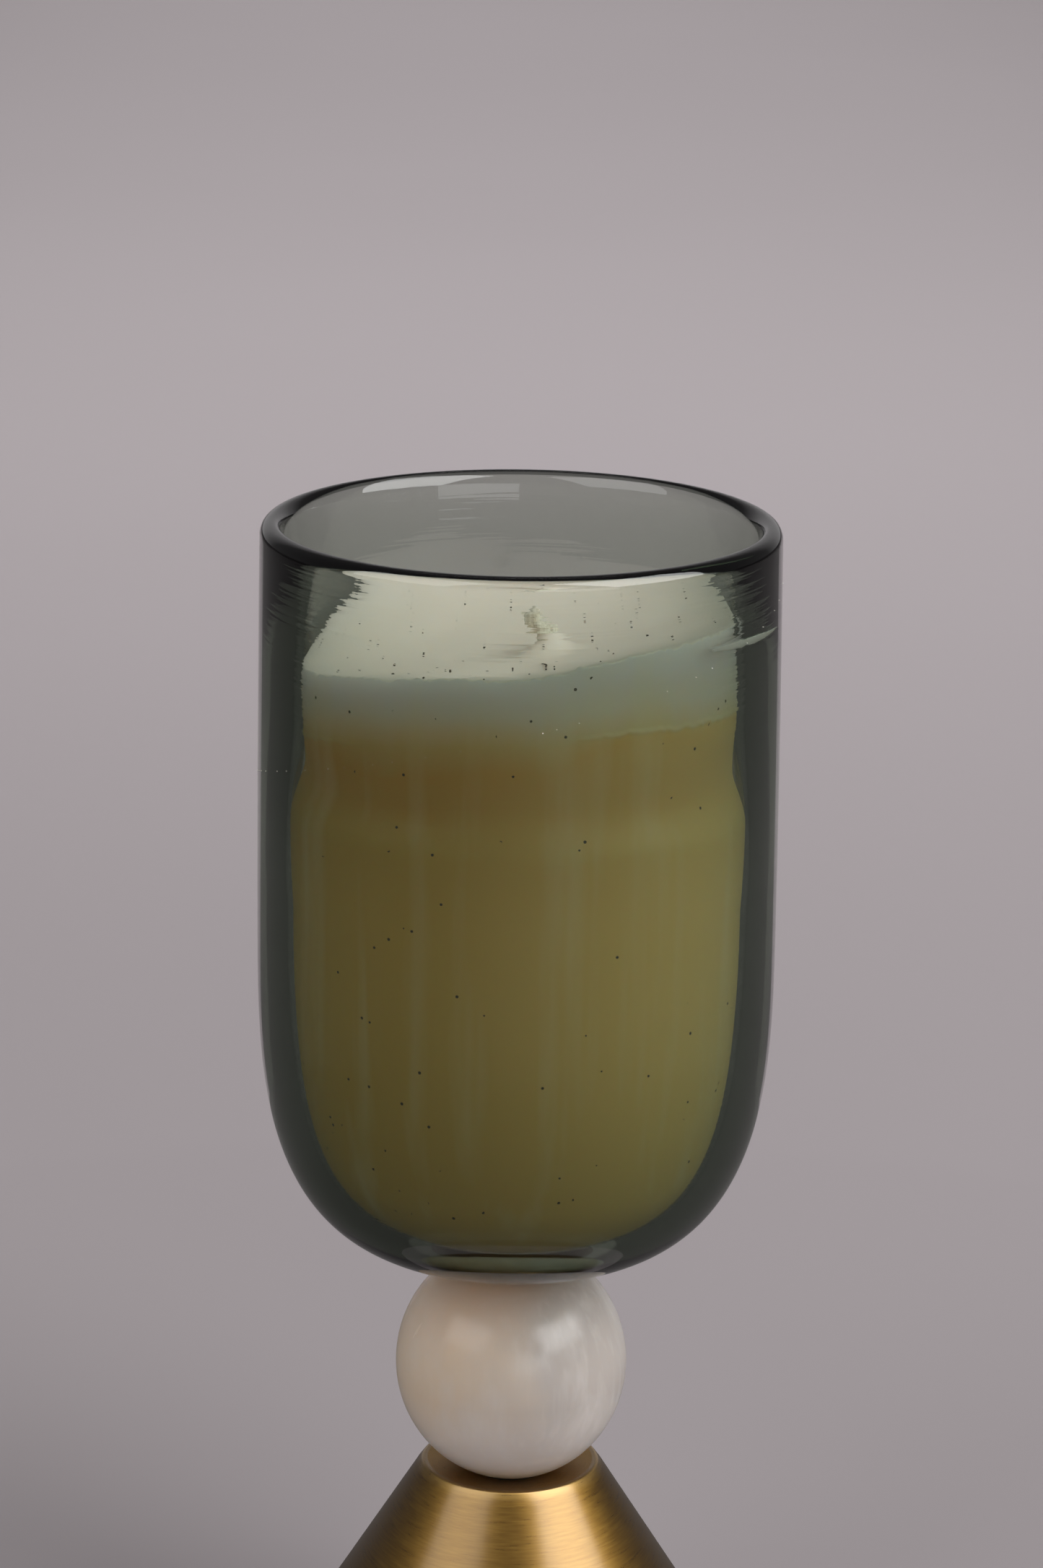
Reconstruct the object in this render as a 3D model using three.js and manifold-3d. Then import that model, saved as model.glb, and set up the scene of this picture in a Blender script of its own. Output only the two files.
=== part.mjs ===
// Candle goblet: a thick smoked-glass cup holding a poured candle, stood on a stone ball and a
// turned brass cone. One tie rod clamps the stack. Millimetres, +Z up, origin at the centre of
// the felt's underside, where the goblet rests.
import * as THREE from "three";
import { mergeVertices } from "three/addons/utils/BufferGeometryUtils.js";
import Module from "manifold-3d";

const wasm = await Module();
wasm.setup();

// ---------------------------------------------------------------- driving dimensions

const GAP = 0.1; // between flat faces that touch
const FIT = 0.3; // between curved faces that touch
const FINE = 48; // segments round the large turned pieces
const COARSE = 32; // segments round the small ones
const THREADED = 20; // segments round the rod, which has a ring for each thread

const CONE_TOP_RADIUS = 15.1;
const CONE_HALF_ANGLE = THREE.MathUtils.degToRad(32);
const CONE_FOOT_HEIGHT = 0.8; // the brass edge stays clear of the table
const CONE_HEIGHT = 48.8;
const CONE_WALL = 2.4; // measured level
const CROWN_THICKNESS = 6.5;

const BALL_RADIUS = 19.65;
const BALL_HALF_HEIGHT = 20.4; // ground by hand, so a little taller than wide
const BALL_SINK = 2.45; // how far the ball sits down into the crown
const BALL_FLAT_RADIUS = 8.5; // flat ground on its top

const CUP_HEIGHT = 125.25;
const RIM_RADIUS = 42.5;
const LIP_OUTER = { across: 2.1, down: 2.2 }; // the lip's rounding outside and inside
const LIP_INNER = { across: 1.5, down: 2.4 };
const THROAT_RADIUS = 37.0; // the bore narrows to this under a flared mouth
const FLARE = 1.9;
const FLARE_DEPTH = 22;
const THROAT_DEPTH = 30;
const BELLY_RADIUS = 43.0;
const BELLY_DEPTH = 68.6; // below the rim
const CUP_PAD_RADIUS = 8.0; // flat ground on the underside
const BORE_RADIUS = 38.05; // inside the cup
const BORE_DEPTH = 119.3;
const BORE_BELLY_DEPTH = 59.7;
const BORE_PAD_RADIUS = 11.0; // flat floor inside the cup

const WAX_DEPTH = 19.5; // rim down to the wax at its edge, on average
const WAX_DISH = 3.4; // the middle sank this much as it set
const WAX_TILT_X = 0.092; // rise per mm, because it set leaning
const WAX_TILT_Y = -0.077;
const WAX_SADDLE = 0.57;
const WAX_GAP = 1.0; // the wax shrank off the glass as it set
const WAX_NECK = { radius: 35.7, depth: 30 };
const WAX_WAIST = { radius: 34.9, depth: 39 };
const WAX_SHOULDER_DEPTH = 47;

const WICK_RADIUS = 1.1;
const ROD_RADIUS = 3.0; // M6
const ROD_PITCH = 1.0;
const THREAD_DEPTH = 0.55;

// ---------------------------------------------------------------- levels, from the table up

const CROWN_TOP = CONE_FOOT_HEIGHT + CONE_HEIGHT;
const BALL_BOTTOM = CROWN_TOP - BALL_SINK;
const BALL_CENTRE = BALL_BOTTOM + BALL_HALF_HEIGHT;
const heightOnBall = (radius) => BALL_HALF_HEIGHT * Math.sqrt(1 - (radius / BALL_RADIUS) ** 2);
const BALL_TOP = BALL_CENTRE + heightOnBall(BALL_FLAT_RADIUS);

// The thin stack between the ball's flat and the glass: washer, plate and adhesive.
const PAD_WASHER_THICKNESS = 0.25;
const PLATE_THICKNESS = 1.4;
const BOND_THICKNESS = 0.3;
const BOND_RADIUS = 11.5;
const PAD_WASHER_BORE = 5.8;
const PAD_WASHER_RADIUS = 8.3;
const PAD_WASHER_BOTTOM = BALL_TOP + GAP;
const PLATE_BOTTOM = PAD_WASHER_BOTTOM + PAD_WASHER_THICKNESS + GAP;
const PLATE_TOP = PLATE_BOTTOM + PLATE_THICKNESS;
const BOND_BOTTOM = PLATE_TOP + GAP;
const CUP_BOTTOM = BOND_BOTTOM + BOND_THICKNESS + GAP;
const RIM_TOP = CUP_BOTTOM + CUP_HEIGHT;
const BORE_FLOOR = RIM_TOP - BORE_DEPTH;
const WAX_TOP = RIM_TOP - WAX_DEPTH;

// ---------------------------------------------------------------- helpers

const at = (radius, height) => new THREE.Vector2(radius, height);

// A profile of [radius, height] points, turned about Z.
function turned(profile, segments = COARSE) {
  return new THREE.LatheGeometry(profile, segments).rotateX(Math.PI / 2);
}

// The closed profile of a plain ring.
function ringProfile(inner, outer, low, high) {
  return [at(inner, low), at(outer, low), at(outer, high), at(inner, high), at(inner, low)];
}

const ring = (inner, outer, low, high, segments) =>
  turned(ringProfile(inner, outer, low, high), segments);

const disc = (radius, low, high, segments) =>
  turned([at(0, low), at(radius, low), at(radius, high), at(0, high)], segments);

// A rounded vessel's wall from its flat bottom up to its belly: a quarter of a superellipse.
function vesselBottom({ pad, radius, bottom, belly, flatness, fullness, steps }) {
  return Array.from({ length: steps + 1 }, (_, i) => {
    const angle = (Math.PI / 2) * (1 - i / steps);
    const across = Math.max(0, Math.cos(angle)) ** (2 / flatness);
    const down = Math.sin(angle) ** (2 / fullness);
    return at(pad + (radius - pad) * across, belly - (belly - bottom) * down);
  });
}

function solidFrom(geometry) {
  const bare = geometry.clone();
  bare.deleteAttribute("normal");
  bare.deleteAttribute("uv");
  const merged = mergeVertices(bare, 1e-3);
  return new wasm.Manifold(
    new wasm.Mesh({
      numProp: 3,
      vertProperties: merged.attributes.position.array,
      triVerts: new Uint32Array(merged.index.array),
    }),
  );
}

function geometryFrom(solid) {
  const mesh = solid.getMesh();
  const geometry = new THREE.BufferGeometry();
  geometry.setAttribute("position", new THREE.BufferAttribute(mesh.vertProperties, 3));
  geometry.setIndex(new THREE.BufferAttribute(mesh.triVerts, 1));
  geometry.computeVertexNormals();
  return geometry;
}

function cut(body, ...tools) {
  return geometryFrom(tools.reduce((left, tool) => left.subtract(solidFrom(tool)), solidFrom(body)));
}

// A round section swept along a curve.
function swept(curve, radius, sides, steps) {
  const section = new THREE.Shape(
    Array.from({ length: sides }, (_, i) => {
      const angle = (2 * Math.PI * i) / sides;
      return at(radius * Math.cos(angle), radius * Math.sin(angle));
    }),
  );
  return new THREE.ExtrudeGeometry(section, { extrudePath: curve, steps, curveSegments: 1 });
}

// ---------------------------------------------------------------- materials

const material = (color, roughness, metalness = 0) =>
  new THREE.MeshStandardMaterial({ color, roughness, metalness });

const smokedGlass = material(0x3a413c, 0.05);
smokedGlass.transparent = true;
smokedGlass.opacity = 0.45;
const wax = material(0xe9e2cf, 0.55);
const cotton = material(0xe6ddc8, 0.9);
const tinplate = material(0xb9bcc0, 0.3, 1);
const foam = material(0xf0efe9, 0.9);
const clearAdhesive = material(0xd9cfae, 0.2);
const brass = material(0xa07f45, 0.35, 1);
const silicone = material(0x1d1b19, 0.7);
const stone = material(0xd9cfc4, 0.35);
const nylon = material(0xe8e6e0, 0.5);
const steel = material(0x9a9da1, 0.35, 1);
const castIron = material(0x3b3b3d, 0.8, 0.6);
const felt = material(0x24211f, 0.95);

// ---------------------------------------------------------------- cup

const smoothstep = (x) => THREE.MathUtils.smoothstep(x, 0, 1);

// The inner wall at a depth under the rim: rounded lip, flared mouth, throat, then belly.
function boreRadius(depth) {
  const mouth = Math.max(0, 1 - depth / FLARE_DEPTH);
  const lip = Math.max(0, 1 - depth / LIP_INNER.down);
  const belly = smoothstep((depth - THROAT_DEPTH) / (BORE_BELLY_DEPTH - THROAT_DEPTH));
  const throat = THROAT_RADIUS + FLARE * mouth ** 2 + (BORE_RADIUS - THROAT_RADIUS) * belly;
  return throat + LIP_INNER.across * (1 - Math.sqrt(1 - lip ** 2));
}

function glassCup() {
  const outside = vesselBottom({
    pad: CUP_PAD_RADIUS,
    radius: BELLY_RADIUS,
    bottom: CUP_BOTTOM,
    belly: RIM_TOP - BELLY_DEPTH,
    flatness: 2.85,
    fullness: 3.09,
    steps: 12,
  });
  const lip = [0, 22.5, 45, 67.5, 90].map((degrees) => {
    const angle = THREE.MathUtils.degToRad(degrees);
    const out = LIP_OUTER.across * (1 - Math.cos(angle));
    return at(RIM_RADIUS - out, RIM_TOP - LIP_OUTER.down * (1 - Math.sin(angle)));
  });
  const lipDepths = [30, 60, 90].map(
    (degrees) => LIP_INNER.down * (1 - Math.cos(THREE.MathUtils.degToRad(degrees))),
  );
  const mouth = [...lipDepths, 7, 12, 17, FLARE_DEPTH, THROAT_DEPTH, 37, 45, 52].map((depth) =>
    at(boreRadius(depth), RIM_TOP - depth),
  );
  const inside = vesselBottom({
    pad: BORE_PAD_RADIUS,
    radius: BORE_RADIUS,
    bottom: BORE_FLOOR,
    belly: RIM_TOP - BORE_BELLY_DEPTH,
    flatness: 3.04,
    fullness: 3.4,
    steps: 10,
  }).reverse();
  return turned([at(0, CUP_BOTTOM), ...outside, ...lip, ...mouth, ...inside, at(0, BORE_FLOOR)], FINE);
}

// ---------------------------------------------------------------- candle

// The wick leans as it rises, so it leaves the wax beside the axis, and its trimmed end bends back.
const WICK_FOOT = BORE_FLOOR + 2.2;
const WICK_EXIT = WAX_TOP - WAX_DISH;
const wickPath = new THREE.CatmullRomCurve3([
  new THREE.Vector3(0, 0, WICK_FOOT),
  new THREE.Vector3(0, 0, WICK_FOOT + 12),
  new THREE.Vector3(0.5, -0.5, (WICK_FOOT + WICK_EXIT) / 2),
  new THREE.Vector3(2.8, -2.7, WICK_EXIT - 20),
  new THREE.Vector3(4.9, -4.5, WICK_EXIT - 3),
  new THREE.Vector3(4.7, -4.6, WICK_EXIT + 2.4),
  new THREE.Vector3(2.6, -4.5, WICK_EXIT + 4.6),
  new THREE.Vector3(2.2, -4.3, WICK_EXIT + 6.5),
]);

const WICK_SIDES = 10;
const WICK_STEPS = 30;

const SUSTAINER_RADIUS = 10;
const SUSTAINER_SHEET = 0.4;
const SUSTAINER_NECK_RADIUS = 2.1;
const SUSTAINER_NECK_HEIGHT = 6;
const STICKER_RADIUS = 8;
const STICKER_THICKNESS = 1.0;
const STICKER_TOP = BORE_FLOOR + GAP + STICKER_THICKNESS;

function waxFill() {
  const side = vesselBottom({
    pad: BORE_PAD_RADIUS,
    radius: BORE_RADIUS - WAX_GAP,
    bottom: BORE_FLOOR + FIT,
    belly: RIM_TOP - BORE_BELLY_DEPTH,
    flatness: 3.04,
    fullness: 3.4,
    steps: 10,
  });
  const body = turned(
    [
      at(0, BORE_FLOOR + FIT),
      ...side,
      at(BORE_RADIUS - WAX_GAP, RIM_TOP - WAX_SHOULDER_DEPTH),
      at(WAX_WAIST.radius, RIM_TOP - WAX_WAIST.depth),
      at(WAX_NECK.radius, RIM_TOP - WAX_NECK.depth),
      at(WAX_NECK.radius, WAX_TOP - 0.6),
      at(WAX_NECK.radius - 0.6, WAX_TOP),
      at(WAX_NECK.radius * 0.8, WAX_TOP - WAX_DISH * 0.36),
      at(WAX_NECK.radius * 0.5, WAX_TOP - WAX_DISH * 0.75),
      at(WAX_NECK.radius * 0.2, WAX_TOP - WAX_DISH * 0.96),
      at(0, WAX_TOP - WAX_DISH),
    ],
    FINE,
  );
  // The candle set leaning: its top face tilts and nothing below the neck does.
  const places = body.attributes.position;
  for (let i = 0; i < places.count; i += 1) {
    if (places.getZ(i) > WAX_TOP - 4) {
      const [x, y] = [places.getX(i), places.getY(i)];
      const saddle = (WAX_SADDLE * (y ** 2 - x ** 2)) / WAX_NECK.radius ** 2;
      places.setZ(i, places.getZ(i) + WAX_TILT_X * x + WAX_TILT_Y * y + saddle);
    }
  }
  const recess = turned([
    at(0, BORE_FLOOR),
    at(SUSTAINER_RADIUS + FIT, BORE_FLOOR),
    at(SUSTAINER_RADIUS + FIT, STICKER_TOP + SUSTAINER_SHEET + FIT),
    at(SUSTAINER_NECK_RADIUS + FIT, STICKER_TOP + SUSTAINER_SHEET + FIT),
    at(SUSTAINER_NECK_RADIUS + FIT, STICKER_TOP + SUSTAINER_NECK_HEIGHT + FIT),
    at(0, STICKER_TOP + SUSTAINER_NECK_HEIGHT + FIT),
  ]);
  return cut(body, recess, swept(wickPath, WICK_RADIUS + FIT, WICK_SIDES, WICK_STEPS));
}

function wickSustainer() {
  const sheetTop = STICKER_TOP + GAP + SUSTAINER_SHEET;
  const neckBore = WICK_RADIUS + 0.25;
  return turned([
    at(neckBore, STICKER_TOP + GAP),
    at(SUSTAINER_RADIUS, STICKER_TOP + GAP),
    at(SUSTAINER_RADIUS, sheetTop),
    at(SUSTAINER_NECK_RADIUS, sheetTop),
    at(SUSTAINER_NECK_RADIUS - 0.3, STICKER_TOP + SUSTAINER_NECK_HEIGHT),
    at(neckBore, STICKER_TOP + SUSTAINER_NECK_HEIGHT),
    at(neckBore, STICKER_TOP + GAP),
  ]);
}

// ---------------------------------------------------------------- joint between cup and ball

const PLATE_RADIUS = 13;
const BOSS_RADIUS = 5;
const BOSS_HEIGHT = 6; // hangs into the ball's counterbore
const BOSS_BOTTOM = PLATE_BOTTOM - BOSS_HEIGHT;
const ROD_TOP = PLATE_TOP - 1.2;

function cupPlate() {
  const bore = ROD_RADIUS + FIT / 2;
  const boreEnd = ROD_TOP + 0.3;
  const chamfer = 0.3;
  return turned(
    [
      at(0, boreEnd),
      at(bore, boreEnd),
      at(bore, BOSS_BOTTOM),
      at(BOSS_RADIUS - chamfer, BOSS_BOTTOM),
      at(BOSS_RADIUS, BOSS_BOTTOM + chamfer),
      at(BOSS_RADIUS, PLATE_BOTTOM),
      at(PLATE_RADIUS - chamfer, PLATE_BOTTOM),
      at(PLATE_RADIUS, PLATE_BOTTOM + chamfer),
      at(PLATE_RADIUS, PLATE_TOP - chamfer),
      at(PLATE_RADIUS - chamfer, PLATE_TOP),
      at(0, PLATE_TOP),
    ],
    FINE,
  );
}

// ---------------------------------------------------------------- ball

const BALL_BORE_RADIUS = 4.0;
const COUNTERBORE_RADIUS = BOSS_RADIUS + 0.5;
const COUNTERBORE_FLOOR = BOSS_BOTTOM - 0.8;
const SLEEVE_RADIUS = BALL_BORE_RADIUS - 0.2;
const SLEEVE_WALL = 0.6;
const SLEEVE_BOTTOM = BALL_BOTTOM + 1.2;

function stoneBall() {
  const from = Math.asin(-heightOnBall(BALL_BORE_RADIUS) / BALL_HALF_HEIGHT);
  const to = Math.asin(heightOnBall(BALL_FLAT_RADIUS) / BALL_HALF_HEIGHT);
  const steps = 14;
  const skin = Array.from({ length: steps + 1 }, (_, i) => {
    const angle = from + ((to - from) * i) / steps;
    return at(BALL_RADIUS * Math.cos(angle), BALL_CENTRE + BALL_HALF_HEIGHT * Math.sin(angle));
  });
  return turned(
    [
      ...skin,
      at(COUNTERBORE_RADIUS, BALL_TOP),
      at(COUNTERBORE_RADIUS, COUNTERBORE_FLOOR),
      at(BALL_BORE_RADIUS, COUNTERBORE_FLOOR),
      skin[0].clone(),
    ],
    FINE,
  );
}

const padWasher = () =>
  ring(PAD_WASHER_BORE, PAD_WASHER_RADIUS, PAD_WASHER_BOTTOM, PAD_WASHER_BOTTOM + PAD_WASHER_THICKNESS);

// A tube that keeps the rod in the middle of the ball's bore.
const centringSleeve = () =>
  ring(SLEEVE_RADIUS - SLEEVE_WALL, SLEEVE_RADIUS, SLEEVE_BOTTOM, COUNTERBORE_FLOOR - GAP);

// ---------------------------------------------------------------- base

const coneRadiusAt = (height) =>
  CONE_TOP_RADIUS + (CROWN_TOP - height) * Math.tan(CONE_HALF_ANGLE);

const SEAT_SLOPE = 0.2; // the crown is dished towards the ball
const POCKET_EDGE = 6.5; // radius of the pocket that holds the seat ring
const SEAT_FLOOR = CROWN_TOP - 4.0;
const CROWN_BORE_RADIUS = 3.4;
const FOOT_RADIUS = coneRadiusAt(CONE_FOOT_HEIGHT);

function baseCone() {
  const edge = 0.5; // broken edges
  const innerFoot = FOOT_RADIUS - CONE_WALL;
  const crownUnder = CROWN_TOP - CROWN_THICKNESS;
  return turned(
    [
      at(CROWN_BORE_RADIUS, crownUnder),
      at(coneRadiusAt(crownUnder) - CONE_WALL, crownUnder),
      at(innerFoot, CONE_FOOT_HEIGHT),
      at(FOOT_RADIUS - edge, CONE_FOOT_HEIGHT),
      at(coneRadiusAt(CONE_FOOT_HEIGHT + edge), CONE_FOOT_HEIGHT + edge),
      at(coneRadiusAt(CROWN_TOP - edge), CROWN_TOP - edge),
      at(CONE_TOP_RADIUS - edge, CROWN_TOP),
      at(POCKET_EDGE, CROWN_TOP - SEAT_SLOPE * (CONE_TOP_RADIUS - edge - POCKET_EDGE)),
      at(POCKET_EDGE, SEAT_FLOOR),
      at(CROWN_BORE_RADIUS, SEAT_FLOOR),
      at(CROWN_BORE_RADIUS, crownUnder),
    ],
    FINE,
  );
}

// The soft ring the ball rests on, sloped to suit it.
function seatRing() {
  const inner = 3.8;
  const outer = POCKET_EDGE - 0.3;
  const under = (radius) => BALL_CENTRE - heightOnBall(radius) - 0.25;
  return turned([
    at(inner, SEAT_FLOOR + GAP),
    at(outer, SEAT_FLOOR + GAP),
    at(outer, under(outer)),
    at(inner, under(inner)),
    at(inner, SEAT_FLOOR + GAP),
  ]);
}

const FELT_THICKNESS = 1.5;
const FELT_RADIUS = FOOT_RADIUS - CONE_WALL - 0.9;
const WEIGHT_BOTTOM = FELT_THICKNESS + GAP;
const WEIGHT_THICKNESS = 9;
const POCKET_RADIUS = 9.5;
const POCKET_DEPTH = 6.4;
const POCKET_ROOF = WEIGHT_BOTTOM + POCKET_DEPTH;

// The ballast is tapered like the cone, and the tie rod draws it up into the taper.
function baseWeight() {
  const radiusAt = (height) => coneRadiusAt(height) - CONE_WALL - FIT;
  const top = WEIGHT_BOTTOM + WEIGHT_THICKNESS;
  const bore = ROD_RADIUS + 0.4;
  return turned(
    [
      at(bore, POCKET_ROOF),
      at(POCKET_RADIUS, POCKET_ROOF),
      at(POCKET_RADIUS, WEIGHT_BOTTOM),
      at(radiusAt(WEIGHT_BOTTOM), WEIGHT_BOTTOM),
      at(radiusAt(top), top),
      at(bore, top),
      at(bore, POCKET_ROOF),
    ],
    FINE,
  );
}

// ---------------------------------------------------------------- tie rod and its fasteners

const WASHER_THICKNESS = 1.6;
const WASHER_RADIUS = 6;
const LOCK_WASHER_THICKNESS = 1.5;
const NUT_HEIGHT = 3.0; // thin M6
const NUT_ACROSS_FLATS = 10;
const WASHER_TOP = POCKET_ROOF - GAP;
const LOCK_TOP = WASHER_TOP - WASHER_THICKNESS - GAP;
const NUT_TOP = LOCK_TOP - LOCK_WASHER_THICKNESS - GAP;
const NUT_BOTTOM = NUT_TOP - NUT_HEIGHT;
const ROD_BOTTOM = NUT_BOTTOM + 0.1;

const flatWasher = () =>
  ring(ROD_RADIUS + 0.3, WASHER_RADIUS, WASHER_TOP - WASHER_THICKNESS, WASHER_TOP);

// One thread's teeth along a stretch, as rings a pitch apart.
function teeth(from, count) {
  return Array.from({ length: count }, (_, i) => [
    at(ROD_RADIUS - THREAD_DEPTH, from + ROD_PITCH * i),
    at(ROD_RADIUS, from + ROD_PITCH * (i + 0.5)),
  ]).flat();
}

function tieRod() {
  const lowTeeth = 8;
  const highTeeth = 6;
  const root = ROD_RADIUS - THREAD_DEPTH;
  const lowEnd = ROD_BOTTOM + 0.2 + ROD_PITCH * lowTeeth;
  const highStart = ROD_TOP - 0.2 - ROD_PITCH * highTeeth;
  return turned(
    [
      at(0, ROD_BOTTOM),
      at(root - 0.2, ROD_BOTTOM),
      ...teeth(ROD_BOTTOM + 0.2, lowTeeth),
      at(root, lowEnd),
      at(ROD_RADIUS - 0.1, lowEnd + 0.4),
      at(ROD_RADIUS - 0.1, highStart - 0.4),
      ...teeth(highStart, highTeeth),
      at(root, ROD_TOP - 0.2),
      at(root - 0.2, ROD_TOP),
      at(0, ROD_TOP),
    ],
    THREADED,
  );
}

function lockWasher() {
  const inner = ROD_RADIUS + 0.2;
  const outer = 5.4;
  const split = 0.14; // radians each side of the cut
  const section = new THREE.Shape();
  section.absarc(0, 0, outer, split, 2 * Math.PI - split, false);
  section.absarc(0, 0, inner, 2 * Math.PI - split, split, true);
  const options = { depth: LOCK_WASHER_THICKNESS, bevelEnabled: false, curveSegments: 28 };
  return new THREE.ExtrudeGeometry(section, options).translate(0, 0, NUT_TOP + GAP);
}

function hexNut() {
  const corner = NUT_ACROSS_FLATS / 2 / Math.cos(Math.PI / 6);
  const prism = new THREE.CylinderGeometry(corner, corner, NUT_HEIGHT, 6)
    .rotateX(Math.PI / 2)
    .translate(0, 0, NUT_BOTTOM + NUT_HEIGHT / 2);
  const chamfer = 0.45;
  const faceRadius = corner - 2 * chamfer;
  const envelope = turned([
    at(0, NUT_BOTTOM),
    at(faceRadius, NUT_BOTTOM),
    at(corner + chamfer, NUT_BOTTOM + 2 * chamfer),
    at(corner + chamfer, NUT_TOP - 2 * chamfer),
    at(faceRadius, NUT_TOP),
    at(0, NUT_TOP),
  ]);
  const hole = disc(ROD_RADIUS + FIT / 2, NUT_BOTTOM - 1, NUT_TOP + 1, 24);
  return geometryFrom(
    solidFrom(prism).intersect(solidFrom(envelope)).subtract(solidFrom(hole)),
  );
}

// ---------------------------------------------------------------- assembly

const goblet = new THREE.Group();
goblet.name = "candle_goblet";

function add(name, geometry, look) {
  const mesh = new THREE.Mesh(geometry, look);
  mesh.name = name;
  goblet.add(mesh);
}

add("glass_cup", glassCup(), smokedGlass);
add("wax_fill", waxFill(), wax);
add("wick", swept(wickPath, WICK_RADIUS, WICK_SIDES, WICK_STEPS), cotton);
add("wick_sustainer", wickSustainer(), tinplate);
add("sustainer_sticker", disc(STICKER_RADIUS, BORE_FLOOR + GAP, STICKER_TOP), foam);
add("bond_disc", disc(BOND_RADIUS, BOND_BOTTOM, BOND_BOTTOM + BOND_THICKNESS), clearAdhesive);
add("cup_plate", cupPlate(), brass);
add("pad_washer", padWasher(), silicone);
add("stone_ball", stoneBall(), stone);
add("centring_sleeve", centringSleeve(), nylon);
add("seat_ring", seatRing(), silicone);
add("base_cone", baseCone(), brass);
add("tie_rod", tieRod(), steel);
add("base_weight", baseWeight(), castIron);
add("flat_washer", flatWasher(), steel);
add("lock_washer", lockWasher(), steel);
add("hex_nut", hexNut(), steel);
add("felt_pad", disc(FELT_RADIUS, 0, FELT_THICKNESS, FINE), felt);

export default goblet;
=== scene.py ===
"""Candle goblet: the looks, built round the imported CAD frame. Metres, +Z up, standing on z = 0."""

import math

import bmesh
import bpy
from mathutils import Matrix, Vector, noise

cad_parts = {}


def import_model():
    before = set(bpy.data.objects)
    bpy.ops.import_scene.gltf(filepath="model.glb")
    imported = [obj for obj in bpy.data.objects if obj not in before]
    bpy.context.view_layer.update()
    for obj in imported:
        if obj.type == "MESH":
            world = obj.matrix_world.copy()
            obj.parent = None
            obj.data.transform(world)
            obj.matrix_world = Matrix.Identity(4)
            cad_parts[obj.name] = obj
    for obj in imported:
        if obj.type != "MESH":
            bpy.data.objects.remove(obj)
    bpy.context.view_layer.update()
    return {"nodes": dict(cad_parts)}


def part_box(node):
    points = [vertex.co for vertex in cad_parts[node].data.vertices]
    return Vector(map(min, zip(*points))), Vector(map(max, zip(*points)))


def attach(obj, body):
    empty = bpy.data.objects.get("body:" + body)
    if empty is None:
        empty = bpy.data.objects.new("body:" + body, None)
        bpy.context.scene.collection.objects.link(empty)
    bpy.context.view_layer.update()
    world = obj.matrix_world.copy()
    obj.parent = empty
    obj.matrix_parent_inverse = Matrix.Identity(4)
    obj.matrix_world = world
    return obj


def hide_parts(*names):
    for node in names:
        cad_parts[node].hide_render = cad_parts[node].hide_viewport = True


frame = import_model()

MM = 0.001

# ------------------------------------------------------------------ levels, from the frame

CUP_LOW, CUP_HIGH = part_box("glass_cup")
WICK_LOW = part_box("wick")[0]
BALL_LOW, BALL_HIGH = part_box("stone_ball")
PLATE_LOW, PLATE_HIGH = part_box("cup_plate")
CONE_LOW, CONE_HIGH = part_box("base_cone")

RIM_Z = CUP_HIGH.z
BELLY_RADIUS = CUP_HIGH.x
CONE_FOOT_RADIUS = CONE_HIGH.x
CROWN_Z = CONE_HIGH.z
BALL_RADIUS = BALL_HIGH.x

# ------------------------------------------------------------------ sizes of the fine surfaces

SEGMENTS = 256
GOLDEN_ANGLE = 2.39996  # radians: turning by it spreads specks evenly

RIM_RADIUS = 42.5 * MM
BELLY_DEPTH = 68.6 * MM
CUP_PAD_RADIUS = 8.0 * MM
CUP_BOTTOM_CURVE = (2.85, 3.09)  # how square the round bottom is, across and down
BORE_RADIUS = 38.05 * MM
BORE_DEPTH = 119.3 * MM
BORE_BELLY_DEPTH = 59.7 * MM
BORE_PAD_RADIUS = 11.0 * MM
BORE_BOTTOM_CURVE = (3.04, 3.4)
BORE_FLOOR_Z = RIM_Z - BORE_DEPTH

LIP_OUTER = (2.1 * MM, 2.2 * MM)  # the lip's outer and inner rounding, across and down
LIP_INNER = (1.5 * MM, 2.4 * MM)
THROAT_RADIUS = 37.0 * MM  # the bore narrows to this under a flared mouth
THROAT_DEPTH = 30 * MM  # and widens again below here
FLARE = 1.9 * MM
FLARE_DEPTH = 22 * MM
RIPPLE_DEPTH = 32 * MM  # the inner wall is rippled down to here
RIPPLE_STEP = 0.12 * MM

WAX_GAP = 1.0 * MM  # air between the candle and the glass
WAX_WETTING = 0.02 * MM  # the candle sinks this far into the floor of the bore, which it wets
WAX_RADIUS = BORE_RADIUS - WAX_GAP
WAX_DEPTH = 19.5 * MM
WAX_TOP_Z = RIM_Z - WAX_DEPTH
WAX_DISH = 3.4 * MM
WAX_TILT_X = 0.092
WAX_TILT_Y = -0.077
WAX_SADDLE = 0.57 * MM
WAX_EDGE = 0.25 * MM
WAX_NECK_RADIUS = 35.7 * MM
WAX_WAIST_RADIUS = 34.9 * MM
WAX_WAIST_DEPTH = 39 * MM
WAX_SHOULDER_DEPTH = 47 * MM
WAX_SHOULDER_Z = RIM_Z - WAX_SHOULDER_DEPTH
WAX_NECK_HEIGHT = 9 * MM  # the wall runs out from the waist to the neck over this
WAX_FADE = 18 * MM  # the painted light in the pale band under the candle's edge fades out over this
WAX_SAG = 1.25 * MM  # the edge dips at the front, where it tore
SAG_AZIMUTH, SAG_SPREAD = 2, 17  # degrees: 0 is the front, 90 the right
WAX_BACK_RISE = 2.2 * MM  # the wax clung higher up the wall at the back left
BACK_AZIMUTH, BACK_SPREAD = -122, 34
WAX_RIGHT_RISE = 1.9 * MM  # and at the right
RIGHT_AZIMUTH, RIGHT_SPREAD = 60, 38
MOUND_HEIGHT = 2.7 * MM  # wax drawn up round the wick
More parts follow.
